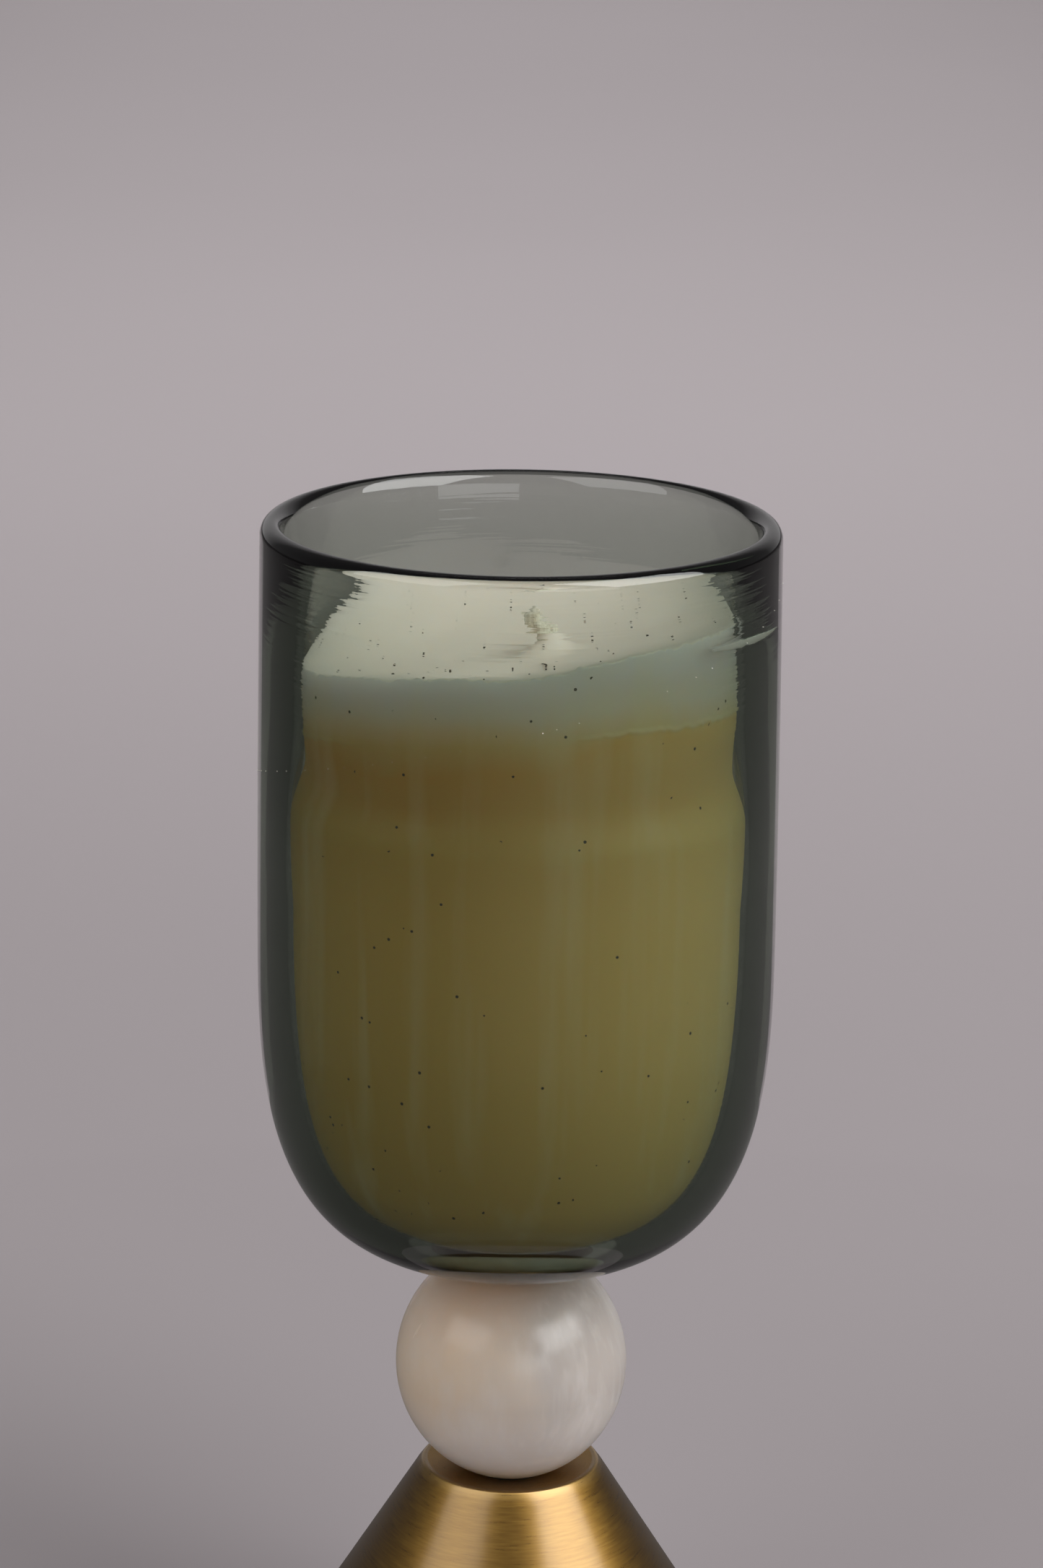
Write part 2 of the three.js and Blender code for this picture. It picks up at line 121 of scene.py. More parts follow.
MOUND_RADIUS = 3.3 * MM
HOLLOW_DEPTH = 1.1 * MM  # a hollow in front of the wick and to its left
HOLLOW_X, HOLLOW_Y = -4 * MM, -19 * MM
HOLLOW_HALF_WIDTH, HOLLOW_HALF_LENGTH = 8 * MM, 6 * MM
POUR_LINE = 10.5 * MM  # edge down to the line where a second pour met the first

WICK_EXPOSED = 2.9 * MM
WICK_EXIT_X = 4.9 * MM
WICK_EXIT_Y = -4.5 * MM
WICK_LEAN = 3.2 * MM
WICK_PITCH = 5.5 * MM  # height of one turn of a strand
STRAND_RADIUS = 0.84 * MM
FIBRE_RADIUS = 0.07 * MM
TRIMMING_START = Vector((3.6 * MM, -14.5 * MM, 0))
TRIMMING_LENGTH = 3.8 * MM
TRIMMING_RADIUS = 0.22 * MM

BALL_HALF_HEIGHT = 20.4 * MM
BALL_BORE_RADIUS = 4.0 * MM
BALL_COUNTERBORE_RADIUS = 5.5 * MM
BALL_FLAT_RADIUS = 8.5 * MM
BOSS_CLEARANCE = 0.8 * MM  # air under the plate's boss in the ball's counterbore

CONE_TOP_RADIUS = 15.1 * MM
CONE_SLOPE = math.tan(math.radians(32))
CONE_WALL = 2.4 * MM
CROWN_THICKNESS = 6.5 * MM
SEAT_SLOPE = 0.2
POCKET_RADIUS = 6.5 * MM
POCKET_DEPTH = 4.0 * MM
CROWN_BORE_RADIUS = 3.4 * MM
CONE_EDGE = 0.8 * MM  # rounding of the crown's rim and bevel of the foot

PLATE_THICKNESS = 1.4 * MM
PLATE_ROUNDING = 0.3 * MM
BOSS_RADIUS = 5.0 * MM
BOSS_BORE_RADIUS = 3.15 * MM
BOSS_BORE_DEPTH = 5 * MM

CARD_HOLE = 60 * MM  # inner radius of the dark cards
CARD_STEP = 0.5 * MM  # each card lies this far over the last

CAMERA_LENS = 111.05  # millimetres, for a sensor 36 mm wide
CAMERA_AT = (0.53 * MM, -767.86 * MM, RIM_Z + 168.43 * MM)
CAMERA_DOWN = 15.492  # degrees
CAMERA_ROLL = 0.73

# ------------------------------------------------------------------ mesh helpers


def ellipse(centre_r, centre_z, half_width, half_height, start, end, steps):
    """Points on part of an ellipse in the (radius, height) plane, angles in degrees."""
    points = []
    for i in range(steps + 1):
        angle = math.radians(start + (end - start) * i / steps)
        points.append((centre_r + half_width * math.cos(angle),
                       centre_z + half_height * math.sin(angle)))
    return points


def straight(start, end, steps):
    """Points from start to end, without the last."""
    return [
        tuple(a + (b - a) * i / steps for a, b in zip(start, end))
        for i in range(steps)
    ]


def vessel_bottom(pad, radius, bottom, belly, flatness, fullness, steps):
    """A round vessel's wall from its flat bottom to its belly: a quarter of a superellipse."""
    points = []
    for i in range(steps + 1):
        angle = math.pi / 2 * (1 - i / steps)
        across = max(0.0, math.cos(angle)) ** (2 / flatness)
        down = math.sin(angle) ** (2 / fullness)
        points.append((pad + (radius - pad) * across, belly - (belly - bottom) * down))
    return points


def compass(angle):
    """The level unit vector at an angle from +X."""
    return Vector((math.cos(angle), math.sin(angle), 0))


def eased(share):
    """A share held between 0 and 1, then eased at both ends."""
    held = min(1.0, max(0.0, share))
    return 3 * held ** 2 - 2 * held ** 3


def swelling(azimuth, middle, spread):
    """1 at the middle azimuth, falling off smoothly over the spread, in degrees."""
    return math.exp(-(((azimuth - middle) / spread) ** 2))


def new_object(name, mesh):
    obj = bpy.data.objects.new(name, mesh)
    bpy.context.scene.collection.objects.link(obj)
    return obj


def mesh_object(name, verts, faces, sharp_degrees):
    mesh = bpy.data.meshes.new(name)
    mesh.from_pydata(verts, [], faces)
    return finish_mesh(new_object(name, mesh), sharp_degrees)


def mark_drop(obj, drops):
    """Stores how far down the candle's side each vertex counts as, for its colour."""
    mark = obj.data.attributes.new("drop", "FLOAT", "POINT")
    mark.data.foreach_set("value", drops)
    return obj


def finish_mesh(obj, sharp_degrees=40):
    """Smooth shading that keeps edges sharper than the given angle."""
    mesh = obj.data
    bm = bmesh.new()
    bm.from_mesh(mesh)
    bmesh.ops.recalc_face_normals(bm, faces=bm.faces)
    limit = math.radians(sharp_degrees)
    for face in bm.faces:
        face.smooth = True
    for edge in bm.edges:
        edge.smooth = edge.calc_face_angle(0) < limit
    bm.to_mesh(mesh)
    bm.free()
    return obj


def turned(name, profile, segments=SEGMENTS, shape=None, closed=False, sharp_degrees=40):
    """A profile of (radius, height) points turned about Z. Points on the axis become poles, and a
    closed profile joins its last point to its first. shape may move each point:
    shape(index, angle, radius, height) gives the new radius and height."""
    verts, faces, rows = [], [], []
    for index, (radius, height) in enumerate(profile):
        if radius < 1e-9:
            rows.append([len(verts)])
            verts.append((0, 0, height))
            continue
        row = []
        for s in range(segments):
            angle = 2 * math.pi * s / segments
            r, z = shape(index, angle, radius, height) if shape else (radius, height)
            row.append(len(verts))
            verts.append((r * math.cos(angle), r * math.sin(angle), z))
        rows.append(row)
    pairs = list(zip(rows, rows[1:]))
    if closed:
        pairs.append((rows[-1], rows[0]))
    for low, high in pairs:
        for s in range(segments):
            t = (s + 1) % segments
            if len(low) == 1 and len(high) == 1:
                continue
            if len(low) == 1:
                faces.append((low[0], high[t], high[s]))
            elif len(high) == 1:
                faces.append((low[s], low[t], high[0]))
            else:
                faces.append((low[s], low[t], high[t], high[s]))
    return mesh_object(name, verts, faces, sharp_degrees)


def place(obj, material, slot, *nodes):
    """Gives a finished piece its material and its body, and hides the CAD nodes it stands for."""
    obj.data.materials.clear()
    obj.data.materials.append(material)
    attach(obj, "root")
    if nodes:
        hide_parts(*nodes)
    return obj


# ------------------------------------------------------------------ material helpers


class Surface:
    """A material being built from nodes: add() makes a node and sets or links its inputs."""

    def __init__(self, name):
        self.material = bpy.data.materials.new(name)
        self.material.use_nodes = True
        self.tree = self.material.node_tree
        self.tree.nodes.clear()
        self.output = self.tree.nodes.new("ShaderNodeOutputMaterial")

    def add(self, kind, inputs=None, **properties):
        node = self.tree.nodes.new("ShaderNode" + kind)
        for key, value in properties.items():
            setattr(node, key, value)
        for key, value in (inputs or {}).items():
            socket = node.inputs[key]
            if isinstance(value, bpy.types.NodeSocket):
                self.tree.links.new(value, socket)
            else:
                socket.default_value = value
        return node

    def maths(self, operation, a, b=0.0, clamp=False):
        node = self.add("Math", {0: a, 1: b}, operation=operation, use_clamp=clamp)
        return node.outputs[0]

    def position(self):
        return self.add("TexCoord").outputs["Object"]

    def axis(self, letter):
        """The object coordinate along X, Y or Z."""
        return self.add("SeparateXYZ", {0: self.position()}).outputs[letter]

    def fade(self, value, start, end):
        """0 at the start value and 1 at the end value, held beyond them."""
        return self.add("MapRange", {0: value, 1: start, 2: end}).outputs[0]

    def over(self, share, strength, colour, other):
        """A colour with another laid over it, as strong as share times strength."""
        return self.mix(self.maths("MULTIPLY", share, strength), colour, other)

    def stretched(self, scale):
        """Object coordinates multiplied by a scale for each axis."""
        node = self.add("VectorMath", {0: self.position(), 1: scale}, operation="MULTIPLY")
        return node.outputs[0]

    def noise(self, vector, scale=1.0, detail=2.0, roughness=0.5, distortion=0.0):
        node = self.add(
            "TexNoise",
            {"Vector": vector, "Scale": scale, "Detail": detail, "Roughness": roughness,
             "Distortion": distortion},
        )
        return node.outputs["Fac"]

    def ramp(self, fac, *stops):
        """A colour ramp of (place, colour) stops; a colour may be one grey level."""
        node = self.add("ValToRGB", {"Fac": fac})
        elements = node.color_ramp.elements
        while len(elements) < len(stops):
            elements.new(1.0)
        for element, (place_at, colour) in zip(elements, stops):
            element.position = place_at
            level = (colour,) * 3 if isinstance(colour, float) else colour
            element.color = (*level, 1.0)
        return node.outputs["Color"]

    def mix(self, fac, a, b, blend="MIX"):
        node = self.add("Mix", data_type="RGBA", blend_type=blend)
        for key, value in ((0, fac), (6, a), (7, b)):
            socket = node.inputs[key]
            if isinstance(value, bpy.types.NodeSocket):
                self.tree.links.new(value, socket)
            elif key == 0:
                socket.default_value = value
            else:
                socket.default_value = (*value, 1.0)
        return node.outputs[2]

    def bump(self, height, distance):
        inputs = {"Height": height, "Distance": distance, "Strength": 1.0}
        return self.add("Bump", inputs).outputs[0]

    def principled(self, **inputs):
        named = {key.replace("_", " "): value for key, value in inputs.items()}
        node = self.add("BsdfPrincipled", named)
        self.tree.links.new(node.outputs[0], self.output.inputs["Surface"])
        return node

    def rings(self, around, along, detail=2.0, roughness=0.5):
        """Noise that runs round the axis: smooth round it, fine along it."""
        x, y, z = self.axis("X"), self.axis("Y"), self.axis("Z")
        squares = self.maths("ADD", self.maths("MULTIPLY", x, x), self.maths("MULTIPLY", y, y))
        radius = self.maths("SQRT", squares)
        safe = self.maths("MAXIMUM", radius, 1e-5)
        across = self.add("CombineXYZ", {
            0: self.maths("MULTIPLY", self.maths("DIVIDE", x, safe), around),
            1: self.maths("MULTIPLY", self.maths("DIVIDE", y, safe), around),
            2: self.maths("MULTIPLY", self.maths("ADD", z, radius), along),
        })
        return self.noise(across.outputs[0], 1.0, detail, roughness)


# ------------------------------------------------------------------ materials


def smoked_glass():
    s = Surface("smoked_glass")
    ripple = s.rings(1.6, 1500, detail=3.0, roughness=0.6)
    normal = s.bump(ripple, 3e-6)
    glass = s.principled(
        Base_Color=(1, 1, 1, 1), Roughness=0.0, IOR=1.5, Transmission_Weight=1.0, Normal=normal
    )
    # Lamplight and diffuse light pass straight through the wall.
    clear = s.add("BsdfTransparent", {"Color": (1, 1, 1, 1)})
    path = s.add("LightPath")
    straight_rays = s.maths("MAXIMUM", path.outputs["Is Shadow Ray"], path.outputs["Is Diffuse Ray"])
    mixed = s.add("MixShader", {0: straight_rays, 1: glass.outputs[0], 2: clear.outputs[0]})
    s.tree.links.new(mixed.outputs[0], s.output.inputs["Surface"])
    volume = s.add("VolumeAbsorption", {"Color": (0.275, 0.365, 0.245, 1), "Density": 187.0})
    s.tree.links.new(volume.outputs[0], s.output.inputs["Volume"])
    return s.material


def candle_wax():
    """Cream on top; the side is painted paler just under the edge, as light glowing down from the lit top,
    then browner where the wax is deep, as painted shade.
    """
    s = Surface("cream_wax")
    z = s.axis("Z")
    drop = s.add("Attribute", attribute_name="drop").outputs["Fac"]
    wander = s.noise(s.stretched((55, 55, 25)), 1.0, 3.0)
    uneven = s.maths("ADD", drop, s.maths("MULTIPLY", s.maths("SUBTRACT", wander, 0.5), 0.30))
    # Painted light and shade: pale just under the edge, as light glowing down from the lit top, browner
    # further down where less light reaches.
    side = s.ramp(uneven, (0.10, (0.99, 0.86, 0.93)), (0.36, (0.98, 0.85, 0.80)),
                  (0.60, (0.93, 0.75, 0.42)), (0.85, (0.95, 0.64, 0.22)))
    cloud = s.noise(s.stretched((30, 30, 22)), 1.0, 4.0)
    # Painted light and shade on the deep side: darker and warmer at the left, lighter and bluer at the
    # right, where the key light falls.
    right = s.maths("ADD", s.maths("MULTIPLY", s.axis("X"), 13.0), 0.35, clamp=True)
    painted_side_light = s.mix(right, (0.86, 0.80, 0.62), (0.98, 1.06, 1.42))
    deep = s.fade(drop, 0.3, 0.6)
    side = s.mix(deep, side, s.mix(1.0, side, painted_side_light, "MULTIPLY"))
    side = s.over(cloud, 0.2, side, (0.80, 0.55, 0.15))
    frost = s.ramp(s.noise(s.stretched((150, 150, 9)), 1.0, 3.0), (0.52, 0.0), (0.72, 1.0))
    side = s.over(frost, 0.35, side, (0.98, 0.84, 0.60))
    film = s.noise(s.stretched((90, 90, 90)), 1.0, 4.0)
    top = s.mix(film, (1.0, 0.86, 0.77), (0.96, 0.81, 0.71))
    # The foot of the candle is painted darker, as shade, and darkest next to the floor of the bore.
    foot = s.fade(z, BORE_FLOOR_Z + 13 * MM, BORE_FLOOR_Z + 2 * MM)
    side = s.over(foot, 0.75, side, (0.42, 0.30, 0.12))
    floor_shade = s.fade(z, BORE_FLOOR_Z + 2.2 * MM, BORE_FLOOR_Z + 0.4 * MM)
    side = s.over(floor_shade, 0.9, side, (0.13, 0.095, 0.035))
    is_side = s.maths("GREATER_THAN", drop, 0.012)
    colour = s.mix(is_side, top, side)
    specks = s.add("TexVoronoi", {"Vector": s.position(), "Scale": 420.0}).outputs
    seldom = s.maths("GREATER_THAN", s.noise(s.stretched((300, 300, 300)), 1.0, 0.0), 0.60)
    speck = s.maths("MULTIPLY", s.maths("LESS_THAN", specks["Distance"], 0.11), seldom)
    colour = s.mix(speck, colour, (0.12, 0.09, 0.06))
    grain = s.noise(s.stretched((70, 70, 500)), 1.0, 3.0)
    scatter = s.maths("ADD", s.maths("MULTIPLY", is_side, 0.32), 0.50)
    s.principled(
        Base_Color=colour, Roughness=0.5, Normal=s.bump(grain, 1.5e-5),
        Subsurface_Weight=scatter, Subsurface_Radius=(1.0, 0.85, 0.7),
        Subsurface_Scale=s.maths("ADD", s.maths("MULTIPLY", deep, 0.012), 0.014),
    )
    return s.material


def wick_cotton():
    s = Surface("cotton")
    fibre = s.noise(s.stretched((3000, 3000, 900)), 1.0, 4.0)
    colour = s.ramp(fibre, (0.3, (0.55, 0.50, 0.40)), (0.7, (0.85, 0.81, 0.70)))
    tip = WAX_TOP_Z + 2 * MM
    darker = s.fade(s.axis("Z"), tip, tip + 5 * MM)
    colour = s.over(darker, 0.6, colour, (0.34, 0.29, 0.23))
    s.principled(Base_Color=colour, Roughness=0.85, Normal=s.bump(fibre, 6e-5))
    return s.material


def white_stone():
    """Warm at the left and cooler at the right, with fine upright fibres and pearly clouds; painted
    lighter at the left and darker at the right against the key light, with a painted sheen at the right,
    and painted light at the bottom and under the cup.
    """
    s = Surface("white_stone")
    fibre = s.noise(s.stretched((320, 320, 60)), 1.0, 3.0, 0.5)
    cloud = s.noise(s.stretched((70, 70, 36)), 1.0, 4.0, 0.55, 0.4)
    # Painted light and shade: the left is painted lighter and the right darker, against the key light from
    # the right; the warm tone at the left is the stone's own.
    across = s.maths("ADD", s.maths("MULTIPLY", s.axis("X"), 55.0), 0.7)
    wander = s.maths("MULTIPLY", s.maths("SUBTRACT", cloud, 0.5), 1.2)
    zone = s.maths("ADD", across, wander, clamp=True)
    colour = s.mix(zone, (0.62, 0.505, 0.385), (0.41, 0.375, 0.35))
    pearl = s.ramp(cloud, (0.50, 0.0), (0.66, 1.0))
    colour = s.over(pearl, 0.30, colour, (0.74, 0.71, 0.69))
    colour = s.over(fibre, 0.22, colour, (0.52, 0.47, 0.43))
    # A painted sheen: pearly streaks laid only on the right, where the key light falls.
    painted_sheen = s.ramp(s.noise(s.stretched((520, 520, 75)), 1.0, 2.0), (0.52, 0.0), (0.70, 1.0))
    colour = s.over(s.maths("MULTIPLY", painted_sheen, zone), 0.10, colour, (0.80, 0.78, 0.77))
    # Painted light: the ball is lighter towards the bottom, as light reflected up from below.
    low = s.fade(s.axis("Z"), BALL_LOW.z + 18 * MM, BALL_LOW.z + 4 * MM)
    colour = s.over(low, 0.62, colour, (0.84, 0.79, 0.75))
    # A reddish patch high on the left, also painted lighter, as light where the cup shades the ball.
    spot = s.add("VectorMath", {0: s.position(), 1: (-0.008, -0.006, 0.085)}, operation="DISTANCE")
    patch_and_light = s.ramp(spot.outputs["Value"], (0.006, 1.0), (0.017, 0.0))
    colour = s.over(patch_and_light, 0.55, colour, (0.86, 0.62, 0.47))
    s.principled(
        Base_Color=colour, Roughness=s.maths("ADD", s.maths("MULTIPLY", fibre, 0.14), 0.17),
        Subsurface_Weight=1.0, Subsurface_Radius=(1.0, 0.85, 0.7), Subsurface_Scale=0.025,
        Specular_IOR_Level=0.4, Normal=s.bump(fibre, 0.4e-5),
    )
    return s.material


def brushed_brass():
    s = Surface("brushed_brass")
    fine = s.rings(4.0, 9000, detail=3.0, roughness=0.6)
    broad = s.rings(1.4, 900, detail=3.0)
    patina = s.noise(s.stretched((40, 40, 60)), 1.0, 4.0)
    streak = s.ramp(fine, (0.22, (0.15, 0.074, 0.009)), (0.78, (0.27, 0.155, 0.028)))
    colour = s.over(broad, 0.35, streak, (0.18, 0.095, 0.014))
    colour = s.over(patina, 0.3, colour, (0.12, 0.058, 0.008))
    # The crown's rim is painted brighter, as a highlight, and the dished seat inside it is painted
    # lighter, as light falling in, and is less glossy.
    edge = s.fade(s.axis("Z"), CROWN_Z - 1.5 * MM, CROWN_Z - 0.6 * MM)
    colour = s.over(edge, 0.30, colour, (0.46, 0.30, 0.10))
    # The seat is painted lighter, as light falling into it.
    radius = s.add("VectorMath", {0: s.stretched((1, 1, 0))}, operation="LENGTH").outputs["Value"]
    seat = s.maths("LESS_THAN", radius, CONE_TOP_RADIUS - 1.0 * MM)
    colour = s.over(seat, 0.75, colour, (0.31, 0.175, 0.034))
    tangent = s.add("Tangent", direction_type="RADIAL", axis="Z").outputs[0]
    s.principled(
        Base_Color=colour, Metallic=1.0, Anisotropic=0.85, Tangent=tangent,
        Roughness=s.maths("ADD", s.maths("MULTIPLY", fine, 0.10), 0.24),
        Coat_Weight=s.maths("SUBTRACT", 0.50, s.maths("MULTIPLY", seat, 0.40)),
        Coat_Roughness=0.22, Coat_IOR=1.8, Normal=s.bump(fine, 0.6e-5),
    )
    return s.material


def polished_brass():
    s = Surface("polished_brass")
    fine = s.rings(4.0, 3000, detail=3.0)
    colour = s.mix(fine, (0.62, 0.43, 0.16), (0.80, 0.60, 0.28))
    s.principled(Base_Color=colour, Metallic=1.0, Roughness=0.22, Normal=s.bump(fine, 4e-6))
    return s.material


def simple(name, dark, light, roughness, metallic=0.0, scale=600, bump=2e-5):
    """A plain material with a fine mottle in its colour and surface."""
    s = Surface(name)
    mottle = s.noise(s.position(), scale, 4.0, 0.6)
    s.principled(
        Base_Color=s.mix(mottle, dark, light), Metallic=metallic,
        Roughness=s.maths("ADD", s.maths("MULTIPLY", mottle, 0.15), roughness),
        Normal=s.bump(mottle, bump),
    )
    return s.material


# ------------------------------------------------------------------ pieces


def bore_radius(depth):
    """The inner wall at a depth under the rim: rounded lip, flared mouth, throat, then belly."""
    mouth = max(0.0, 1 - depth / FLARE_DEPTH)
    lip = max(0.0, 1 - depth / LIP_INNER[1])
    belly = eased((depth - THROAT_DEPTH) / (BORE_BELLY_DEPTH - THROAT_DEPTH))
    radius = THROAT_RADIUS + FLARE * mouth ** 2 + LIP_INNER[0] * (1 - math.sqrt(1 - lip ** 2))
    return radius + (BORE_RADIUS - THROAT_RADIUS) * belly


def bore_bottom(radius, floor_z, steps):
    """The round bottom of the bore, or of the candle cast in it, from its floor to its belly."""
    return vessel_bottom(BORE_PAD_RADIUS, radius, floor_z, RIM_Z - BORE_BELLY_DEPTH,
                         *BORE_BOTTOM_CURVE, steps)


def outer_radius(depth):
    """The outer wall at a depth under the rim, down to the belly."""
    swell = math.sin(math.pi / 2 * min(1.0, depth / BELLY_DEPTH))
    return RIM_RADIUS + (BELLY_RADIUS - RIM_RADIUS) * swell


def cup_piece():
    outside = vessel_bottom(CUP_PAD_RADIUS, BELLY_RADIUS, CUP_LOW.z, RIM_Z - BELLY_DEPTH,
                            *CUP_BOTTOM_CURVE, 60)
    side = []
    steps = 40
    for i in range(1, steps):
        depth = BELLY_DEPTH + (LIP_OUTER[1] - BELLY_DEPTH) * i / steps
        side.append((outer_radius(depth), RIM_Z - depth))
    lip = ellipse(RIM_RADIUS - LIP_OUTER[0], RIM_Z - LIP_OUTER[1], *LIP_OUTER, 0, 90, 14)
    for i in range(1, 13):
        depth = LIP_INNER[1] * (1 - math.cos(math.pi / 2 * i / 12))
        lip.append((bore_radius(depth), RIM_Z - depth))
    bore = bore_bottom(BORE_RADIUS, BORE_FLOOR_Z, 60)
    rows = round((RIPPLE_DEPTH - LIP_INNER[1]) / RIPPLE_STEP)
    rippled, down = [], []
    for i in range(1, rows + 1):
        depth = LIP_INNER[1] + (RIPPLE_DEPTH - LIP_INNER[1]) * i / rows
        rippled.append((bore_radius(depth), RIM_Z - depth))
    for i in range(1, 24):
        depth = RIPPLE_DEPTH + (BORE_BELLY_DEPTH - RIPPLE_DEPTH) * i / 24
        down.append((bore_radius(depth), RIM_Z - depth))
    profile = [(0, CUP_LOW.z), *outside, *side, *lip, *rippled, *down, *reversed(bore),
               (0, BORE_FLOOR_Z)]
    first = 1 + len(outside) + len(side) + len(lip)
    last = first + len(rippled)

    def shape(index, angle, radius, height):
        """Drawn rings in the inner wall, strongest near the lip."""
        if first <= index < last:
            around = compass(angle) * 2.5
            fine = noise.noise(around + Vector((0, 0, height / (0.30 * MM))))
            broad = noise.noise(around * 0.5 + Vector((7, 0, height / (0.9 * MM))))
            depth = (RIM_Z - height) / RIPPLE_DEPTH
            ease = min(1.0, (index - first) / 12, (last - index) / 30)
            radius += (1.2e-5 * fine + 2e-5 * broad) * (1 - 0.8 * depth) * ease
        return radius, height

    return turned("smoked_glass_cup", profile, shape=shape)


def right_rise(azimuth):
    """How much higher the candle's edge stands at an azimuth, in degrees: most at the right."""
    return WAX_RIGHT_RISE * swelling(azimuth, RIGHT_AZIMUTH, RIGHT_SPREAD)


def wax_level(x, y):
    """The height of the candle's surface over a point."""
    share = min(1.0, math.hypot(x, y) / WAX_NECK_RADIUS)
    level = WAX_TOP_Z + WAX_TILT_X * x + WAX_TILT_Y * y
    level += WAX_SADDLE * (y * y - x * x) / WAX_NECK_RADIUS ** 2
    level -= WAX_DISH * (1 - share ** 2)
    away = math.hypot(x - WICK_EXIT_X, y - WICK_EXIT_Y)
    level += MOUND_HEIGHT * math.exp(-((away / MOUND_RADIUS) ** 2))
    hollow = math.hypot((x - HOLLOW_X) / HOLLOW_HALF_WIDTH, (y - HOLLOW_Y) / HOLLOW_HALF_LENGTH)
    level -= HOLLOW_DEPTH * math.exp(-hollow ** 2)
    level += 0.25 * MM * noise.noise(Vector((x, y, 0)) / (9 * MM))
    azimuth = math.degrees(math.atan2(x, -y))  # 0 at the front, 90 at the right
    level -= WAX_SAG * share ** 3 * swelling(azimuth, SAG_AZIMUTH, SAG_SPREAD)
    level += WAX_BACK_RISE * share ** 3 * swelling(azimuth, BACK_AZIMUTH, BACK_SPREAD)
    return level + right_rise(azimuth) * share ** 1.5


def wax_edge(angle):
    """The smooth line that the torn edge of the candle wanders about."""
    return wax_level(WAX_NECK_RADIUS * math.cos(angle), WAX_NECK_RADIUS * math.sin(angle))


def torn_edge(angle):
    """The height of the candle's torn edge, from broad waves down to fine nicks."""
    around = compass(angle)
    level = wax_edge(angle)
    for height, waves in ((0.45, 5.0), (0.35, 17.0), (0.30, 45.0), (0.22, 130.0)):
        level += height * MM * noise.noise(around * waves)
    return level


def edge_rise(around):
    return right_rise(math.degrees(math.atan2(around.x, -around.y)))


def pour_line(around):
    """How far under the edge the second pour met the first."""
    wander = 0.5 * MM * noise.noise(around * 3) + 0.2 * MM * noise.noise(around * 12)
    return POUR_LINE + 1.5 * edge_rise(around) + wander


def line_strength(around):
    """The second pour shows as a line at the right and the far left, and blends in between."""
    return min(1.0, max(0.0, (around.x - 0.15) * 4, (-around.x - 0.62) * 5))


def wax_wall(share, angle, edge_z):
    """Radius and height on the candle's wall, share 0 at the shoulder and 1 at the edge."""
    z = WAX_SHOULDER_Z + (edge_z - WAX_SHOULDER_Z) * share
    depth = RIM_Z - z
    around = compass(angle)
    waist_depth = WAX_WAIST_DEPTH + 2.5 * MM * noise.noise(around * 1.3 + Vector((3, 0, 0)))
    front = max(0.0, -around.y) ** 2
    waist = WAX_WAIST_RADIUS + 0.9 * MM * front
    neck = WAX_NECK_RADIUS + 0.25 * MM * front
    r = waist
    r += (WAX_RADIUS - waist) * eased((depth - waist_depth) / (WAX_SHOULDER_DEPTH - waist_depth))
    r += (neck - waist) * eased((waist_depth - depth) / WAX_NECK_HEIGHT)
    lumps = noise.noise(around * 2.2 + Vector((0, 0, z / (7 * MM))))
    r += 0.22 * MM * lumps * min(1, 12 * share)
    line = (edge_z - z - pour_line(around)) / (0.35 * MM)
    r += 0.22 * MM * math.exp(-line ** 2) * line_strength(around)
    return r, z


def wall_drop(angle, below):
    """The drop of a point on the wall, below the edge: it grows downwards, with a step at the line."""
    around = compass(angle)
    step = min(1.0, max(0.0, (below - pour_line(around)) / (0.5 * MM)))
    fade = max(0.0, below - 1.5 * edge_rise(around)) / WAX_FADE
    return fade + 0.02 + 0.16 * step * line_strength(around)


def wax_rings(angles):
    """The candle's skin from its floor to its middle: rings of (radius, height, drop), a point
    for each angle. The drop is 0 on top and 1 far down the side."""
    wall_rows, edge_rows, top_rows = 120, 4, 60
    base = bore_bottom(WAX_RADIUS, BORE_FLOOR_Z - WAX_WETTING, 40)
    base += straight(base[-1], (WAX_RADIUS, WAX_SHOULDER_Z), 10)[1:]
    rings = [[(r, z, 1.0)] * len(angles) for r, z in base]
    edges = [torn_edge(angle) for angle in angles]
    for row in range(1, wall_rows + 1):
        ring = []
        for angle, edge in zip(angles, edges):
            r, z = wax_wall((row / wall_rows) ** 0.9, angle, edge - WAX_EDGE)
            ring.append((r, z, wall_drop(angle, edge - WAX_EDGE - z)))
        rings.append(ring)
    for row in range(1, edge_rows + 1):
        turn = math.pi / 2 * row / edge_rows
        ring = []
        for angle, edge in zip(angles, edges):
            r = wax_wall(1.0, angle, edge - WAX_EDGE)[0] - WAX_EDGE * (1 - math.cos(turn))
            ring.append((r, edge - WAX_EDGE * (1 - math.sin(turn)), 0.02 if row == 1 else 0.0))
        rings.append(ring)
    for row in range(1, top_rows):
        r = (WAX_NECK_RADIUS - WAX_EDGE) * (1 - row / top_rows)
        torn = math.exp(-row / 1.6)
        ring = []
        for angle, edge in zip(angles, edges):
            level = wax_level(r * math.cos(angle), r * math.sin(angle))
            ring.append((r, level + (edge - wax_edge(angle)) * torn, 0.0))
        rings.append(ring)
    return rings


